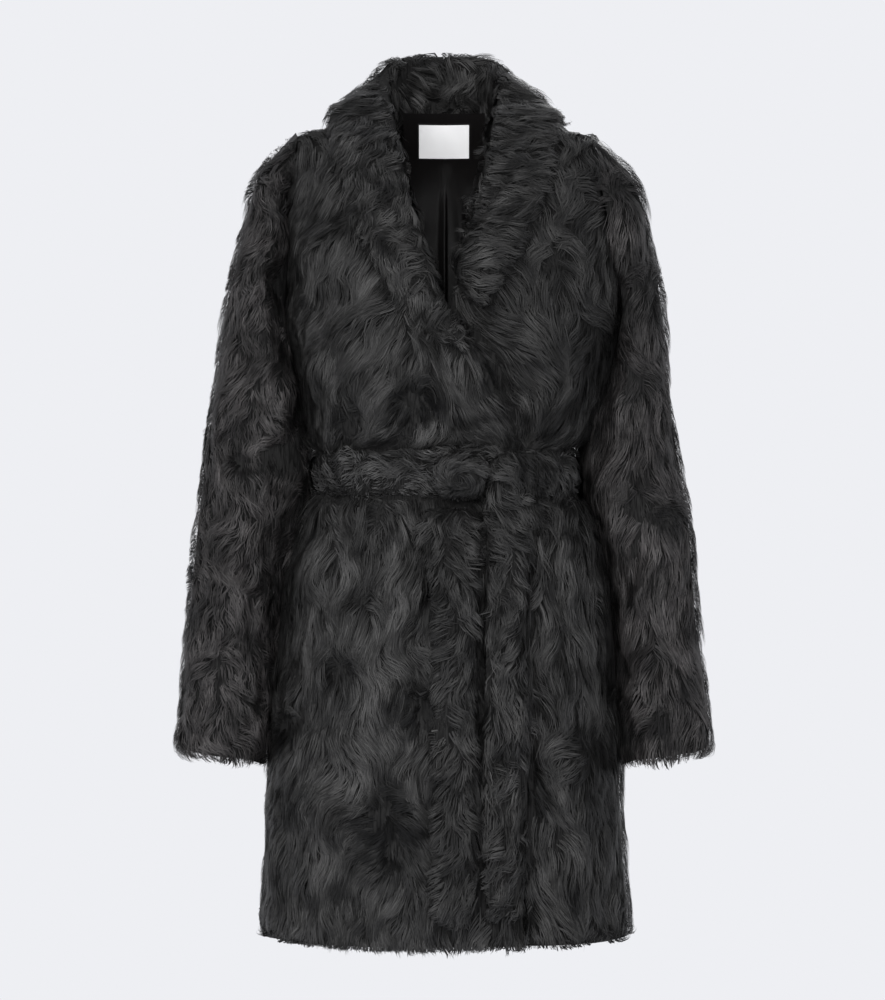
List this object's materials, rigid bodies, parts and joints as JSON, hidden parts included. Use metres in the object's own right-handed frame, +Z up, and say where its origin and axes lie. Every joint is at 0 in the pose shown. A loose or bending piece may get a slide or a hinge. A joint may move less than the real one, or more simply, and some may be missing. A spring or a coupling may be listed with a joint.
{
  "type": "shearling wrap coat",
  "caption": "Knee-length wrap coat in dark wavy lamb fur with a shawl collar and a knotted tie belt, filled out as worn.",
  "frame": {"origin": "the nape, on the inside of the back neck at its centre, where the wearer's neck holds the coat", "axes": "+Z up along the centre back, the front of the coat faces -Y, and the wearer's right side is at -X"},
  "size_m": [0.5661, 0.3263, 0.9445],
  "materials": {
    "body_fur": "short wavy lamb fur on a thin pelt, silky, near black with soft grey lights",
    "sleeve_fur": "the same lamb fur, a little warmer, hair lying down the sleeve",
    "collar_fur": "the same lamb fur turned over into a soft rolled collar",
    "belt_fur": "the same lamb fur, rumpled by the tie",
    "lining_satin": "smooth dark satin with a pleat down the centre",
    "label_white": "plain white woven label, left bare"
  },
  "bodies": {
    "root": {"back": "body_fur", "front_right": "body_fur", "front_left": "body_fur", "sleeve_right": "sleeve_fur", "sleeve_left": "sleeve_fur", "collar_right": "collar_fur", "collar_left": "collar_fur", "belt_band": "belt_fur", "belt_knot": "belt_fur", "belt_end_right": "belt_fur", "belt_end_left": "belt_fur", "lining_back": "lining_satin", "label": "label_white"}
  },
  "joints": []
}
